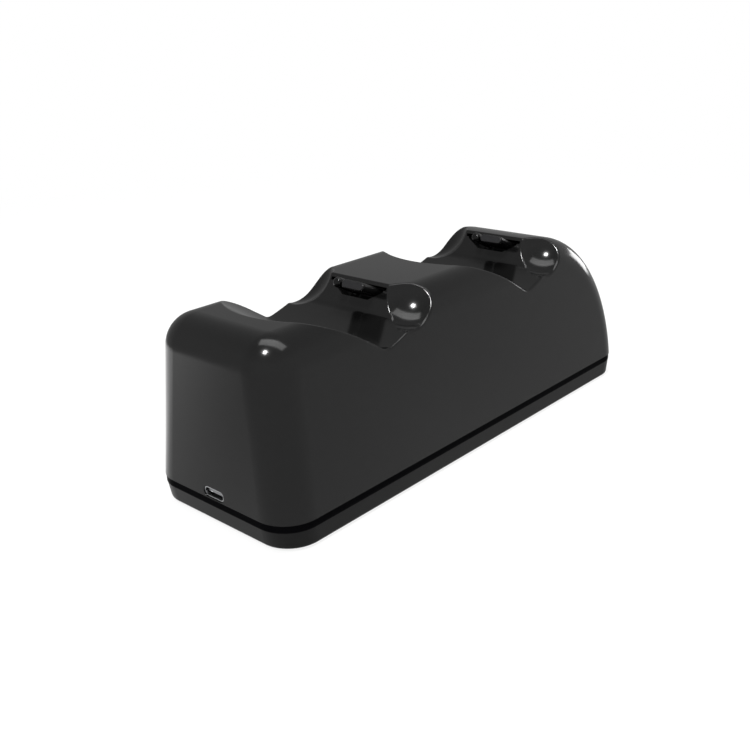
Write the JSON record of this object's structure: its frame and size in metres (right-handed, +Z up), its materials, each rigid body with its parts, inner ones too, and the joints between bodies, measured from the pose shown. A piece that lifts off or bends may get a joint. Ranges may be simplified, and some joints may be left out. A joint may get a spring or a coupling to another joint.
{
  "type": "controller charging dock",
  "caption": "Long black charging dock with dished cradles that hold game controllers upright, each with a plug and a post in a leaning wall, over a dark light band and a base.",
  "frame": {"origin": "on the surface it stands on, under the middle of its length and width", "axes": "+X along the length from the socket end to the domed end, +Y across the width, +Z up"},
  "size_m": [0.187, 0.064, 0.0631],
  "materials": {
    "shell_black": "fine satin moulding",
    "band_smoke": "polished smoke tint",
    "base_black": "fine satin moulding",
    "screw_steel": "zinc plated",
    "board_green": "solder mask",
    "socket_metal": "bright stamped",
    "tongue_black": "moulded",
    "lamp_white": "moulded",
    "foot_rubber": "matt",
    "plug_black": "moulded",
    "post_black": "polished",
    "chip_black": "moulded",
    "coil_ferrite": "sintered",
    "header_white": "moulded",
    "wire_black": "satin"
  },
  "bodies": {
    "root": {"base_cover": "base_black", "base_screws": "screw_steel", "board_screws": "screw_steel", "far_charge_chip": "chip_black", "far_charge_plug": "plug_black", "far_contact_board": "board_green", "far_guide_post": "post_black", "far_lead": "wire_black", "far_lead_socket": "header_white", "far_plug_holder": "plug_black", "far_power_coil": "coil_ferrite", "foot_far_left": "foot_rubber", "foot_far_right": "foot_rubber", "foot_near_left": "foot_rubber", "foot_near_right": "foot_rubber", "light_band": "band_smoke", "main_board": "board_green", "near_charge_chip": "chip_black", "near_charge_plug": "plug_black", "near_contact_board": "board_green", "near_guide_post": "post_black", "near_lead": "wire_black", "near_lead_socket": "header_white", "near_plug_holder": "plug_black", "near_power_coil": "coil_ferrite", "plug_screws": "screw_steel", "socket_shell": "socket_metal", "socket_tongue": "tongue_black", "status_lamps": "lamp_white", "upper_shell": "shell_black"}
  },
  "joints": []
}
